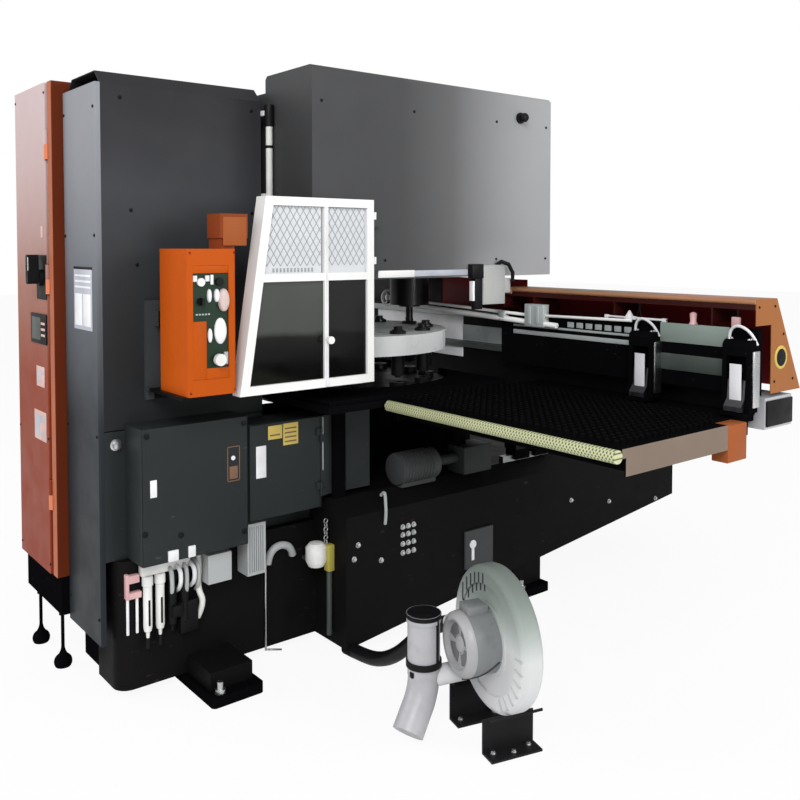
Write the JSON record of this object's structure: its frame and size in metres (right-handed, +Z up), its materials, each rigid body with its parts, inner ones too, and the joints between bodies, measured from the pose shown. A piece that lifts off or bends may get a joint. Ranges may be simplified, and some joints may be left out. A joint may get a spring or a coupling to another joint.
{
  "type": "cnc turret punch press",
  "caption": "Turret punch press with a covered C frame, electrical cabinet, guard, brush tables, clamp carriage and a floor blower.",
  "frame": {"origin": "on the floor, in the middle of the machine's outline", "axes": "+Z up, +X towards the operator's control and the blower, +Y from the column to the sheet carriage"},
  "size_m": [3.65, 3.37, 2.46],
  "materials": {
    "charcoal_paint": "satin",
    "blue_grey_paint": "satin",
    "cabinet_orange": "satin",
    "control_orange": "satin",
    "black_paint": "satin",
    "light_grey_paint": "satin",
    "cast_grey": "as cast, painted",
    "motor_grey": "satin",
    "bright_steel": "ground",
    "tool_steel": "ground",
    "machined_grey": "satin",
    "black_plastic": "matte",
    "white_plastic": "gloss",
    "red_plastic": "gloss",
    "smoked_glass": "tinted",
    "bristle": "brush bristle",
    "bumper_cover": "hatched",
    "aluminium_rotor": "cast",
    "hose_rubber": "matte"
  },
  "bodies": {
    "frame": {"air_unit": "white_plastic", "base_boxes": "light_grey_paint", "bed": "black_paint", "blower_casing": "cast_grey", "blower_motor": "motor_grey", "blower_stand": "black_paint", "bridge_cover": "charcoal_paint", "c_frame": "black_paint", "cabinet_feet": "black_plastic", "cabinet_plinth": "black_paint", "cabinet_shell": "cabinet_orange", "center_table": "black_paint", "control_box": "control_orange", "control_plate": "black_plastic", "control_tray": "black_paint", "drive_modules": "light_grey_paint", "end_side_panel": "blue_grey_paint", "floor_pads": "black_paint", "front_upper_cover": "charcoal_paint", "jack_bolts": "bright_steel", "junction_box": "control_orange", "light_bar": "light_grey_paint", "lower_column_cover": "charcoal_paint", "lower_front_box": "charcoal_paint", "lower_side_panel": "charcoal_paint", "outlet_silencer": "motor_grey", "ram_housing": "cast_grey", "screw_supports": "machined_grey", "suction_hose": "hose_rubber", "turret_shafts": "bright_steel", "y_rails": "bright_steel"},
    "cabinet_door": {"cabinet_door": "cabinet_orange"},
    "switch": {"disconnect_handle": "black_plastic"},
    "lower_door": {"lower_door": "charcoal_paint"},
    "guard": {"guard_frame": "light_grey_paint", "guard_mesh": "bright_steel", "guard_window": "smoked_glass"},
    "start_button": {"start_button": "white_plastic"},
    "stop_button": {"stop_button": "black_plastic"},
    "estop_button": {"estop_button": "red_plastic"},
    "mode_selector": {"mode_selector": "black_plastic"},
    "upper_turret": {"upper_turret": "bright_steel", "punch_tools": "tool_steel"},
    "active_punch": {"active_punch": "tool_steel"},
    "lower_turret": {"lower_turret": "bright_steel", "dies": "tool_steel"},
    "ram": {"ram": "bright_steel"},
    "carriage_y": {"carriage_beam": "light_grey_paint", "y_blocks": "machined_grey", "side_tables": "black_paint", "side_brushes": "bristle", "table_bumpers": "bumper_cover", "x_rails": "bright_steel"},
    "y_screw": {"y_screw": "bright_steel"},
    "carriage_x": {"x_carriage": "machined_grey", "x_cover": "control_orange", "clamp_bodies": "black_paint"},
    "clamp_jaw_left": {"clamp_jaw_left": "tool_steel"},
    "clamp_jaw_right": {"clamp_jaw_right": "tool_steel"},
    "blower_rotor": {"blower_rotor": "aluminium_rotor"}
  },
  "joints": [
    {"name": "cabinet_door_swing", "type": "hinge", "parent": "frame", "child": "cabinet_door", "pos_m": [-0.164, -1.621, 1.4], "axis": [0, 0, 1], "range_deg": [0, 120]},
    {"name": "switch_turn", "type": "hinge", "parent": "cabinet_door", "child": "switch", "pos_m": [-0.23, -1.66, 1.61], "axis": [0, -1, 0], "range_deg": [0, 90]},
    {"name": "lower_door_swing", "type": "hinge", "parent": "frame", "child": "lower_door", "pos_m": [0.424, -0.685, 0.83], "axis": [0, 0, 1], "range_deg": [0, 115]},
    {"name": "guard_swing", "type": "hinge", "parent": "frame", "child": "guard", "pos_m": [0.592, -0.531, 1.757], "axis": [0, 0, 1], "range_deg": [0, 110]},
    {"name": "start_press", "type": "slide", "parent": "frame", "child": "start_button", "axis": [-1, 0, 0], "range_m": [0, 0.005], "stiffness_N_per_m": 400},
    {"name": "stop_press", "type": "slide", "parent": "frame", "child": "stop_button", "axis": [-1, 0, 0], "range_m": [0, 0.005], "stiffness_N_per_m": 400},
    {"name": "estop_press", "type": "slide", "parent": "frame", "child": "estop_button", "axis": [-1, 0, 0], "range_m": [0, 0.006]},
    {"name": "mode_turn", "type": "hinge", "parent": "frame", "child": "mode_selector", "pos_m": [0.604, -1.325, 1.54], "axis": [1, 0, 0], "range_deg": [-45, 45]},
    {"name": "turret_turn", "type": "hinge", "parent": "frame", "child": "upper_turret", "pos_m": [0, -0.235, 1.295], "axis": [0, 0, 1], "continuous": true},
    {"name": "lower_turret_turn", "type": "hinge", "parent": "frame", "child": "lower_turret", "pos_m": [0, -0.235, 1.06], "axis": [0, 0, 1], "continuous": true},
    {"name": "ram_stroke", "type": "slide", "parent": "frame", "child": "ram", "axis": [0, 0, -1], "range_m": [0, 0.03]},
    {"name": "punch_stroke", "type": "slide", "parent": "upper_turret", "child": "active_punch", "axis": [0, 0, -1], "range_m": [0, 0.03]},
    {"name": "carriage_y_travel", "type": "slide", "parent": "frame", "child": "carriage_y", "axis": [0, 1, 0], "range_m": [0, 0.95]},
    {"name": "screw_turn", "type": "hinge", "parent": "frame", "child": "y_screw", "pos_m": [0, 1, 0.735], "axis": [0, 1, 0], "range_deg": [-6850, 5]},
    {"name": "carriage_x_travel", "type": "slide", "parent": "carriage_y", "child": "carriage_x", "axis": [-1, 0, 0], "range_m": [0, 2.03]},
    {"name": "clamp_left_bite", "type": "hinge", "parent": "carriage_x", "child": "clamp_jaw_left", "pos_m": [1.3295, 0.303, 1.21], "axis": [1, 0, 0], "range_deg": [-12, 1]},
    {"name": "clamp_right_bite", "type": "hinge", "parent": "carriage_x", "child": "clamp_jaw_right", "pos_m": [1.7575, 0.303, 1.21], "axis": [1, 0, 0], "range_deg": [-12, 1]},
    {"name": "rotor_spin", "type": "hinge", "parent": "frame", "child": "blower_rotor", "pos_m": [1.352, -0.565, 0.36], "axis": [0.2588, 0.9659, 0], "continuous": true}
  ],
  "couplings": [
    {"joint": "lower_turret_turn", "follows": "turret_turn", "ratio": 1},
    {"joint": "punch_stroke", "follows": "ram_stroke", "ratio": 1},
    {"joint": "clamp_right_bite", "follows": "clamp_left_bite", "ratio": 1},
    {"joint": "screw_turn", "follows": "carriage_y_travel", "rad_per_m": -125.66}
  ]
}
